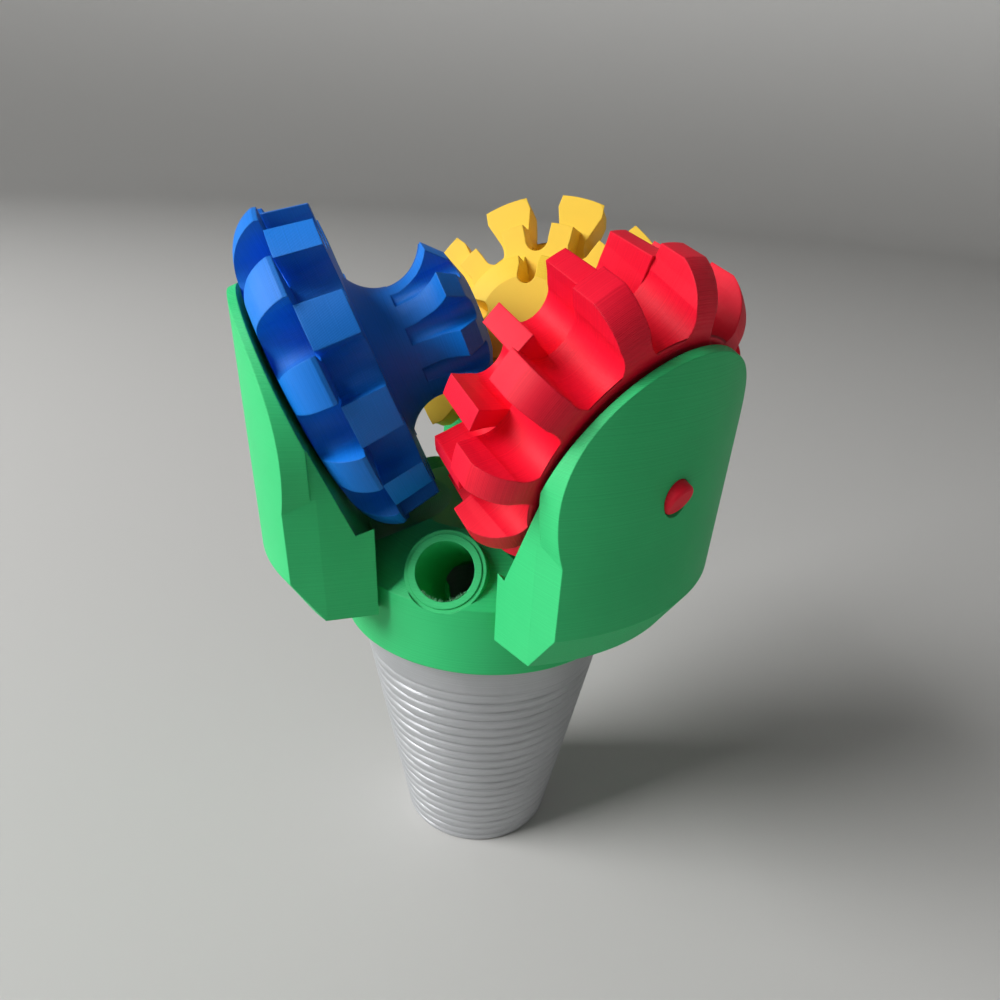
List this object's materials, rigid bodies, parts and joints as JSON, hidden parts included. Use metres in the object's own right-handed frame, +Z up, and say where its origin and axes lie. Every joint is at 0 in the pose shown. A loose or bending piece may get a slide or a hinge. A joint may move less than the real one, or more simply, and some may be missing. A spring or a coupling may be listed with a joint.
{
  "type": "tricone drill bit",
  "caption": "Roller-cone drill bit with a tapered threaded pin, three legs, angled jet nozzles and intermeshing toothed cones that turn on inclined journals.",
  "frame": {"origin": "centre of the threaded pin's bottom face", "axes": "+Z up through the bit from pin to cones; -Y towards the first nozzle, between the legs of the red and blue cones"},
  "size_m": [0.1, 0.0975, 0.1502],
  "materials": {
    "silver_plastic": "matt moulded or printed plastic with fine layer lines",
    "green_plastic": "matt moulded or printed plastic with fine layer lines",
    "blue_plastic": "matt moulded or printed plastic with fine layer lines",
    "red_plastic": "matt moulded or printed plastic with fine layer lines",
    "yellow_plastic": "matt moulded or printed plastic with fine layer lines"
  },
  "bodies": {
    "bit_body": {"crown": "green_plastic", "leg_1": "green_plastic", "leg_2": "green_plastic", "leg_3": "green_plastic", "nozzle_1": "green_plastic", "nozzle_2": "green_plastic", "nozzle_3": "green_plastic", "threaded_pin": "silver_plastic"},
    "blue_cutter": {"cone_blue": "blue_plastic", "axle_blue": "blue_plastic"},
    "red_cutter": {"cone_red": "red_plastic", "axle_red": "red_plastic"},
    "yellow_cutter": {"cone_yellow": "yellow_plastic", "axle_yellow": "yellow_plastic"}
  },
  "joints": [
    {"name": "blue_cone_spin", "type": "hinge", "parent": "bit_body", "child": "blue_cutter", "pos_m": [-0.0443, -0.02327, 0.1115], "axis": [0.7942, 0.4585, 0.3987], "continuous": true},
    {"name": "red_cone_spin", "type": "hinge", "parent": "bit_body", "child": "red_cutter", "pos_m": [0.0423, -0.02673, 0.1115], "axis": [-0.7942, 0.4585, 0.3987], "continuous": true},
    {"name": "yellow_cone_spin", "type": "hinge", "parent": "bit_body", "child": "yellow_cutter", "pos_m": [0.002, 0.05, 0.1115], "axis": [0, -0.9171, 0.3987], "continuous": true}
  ]
}
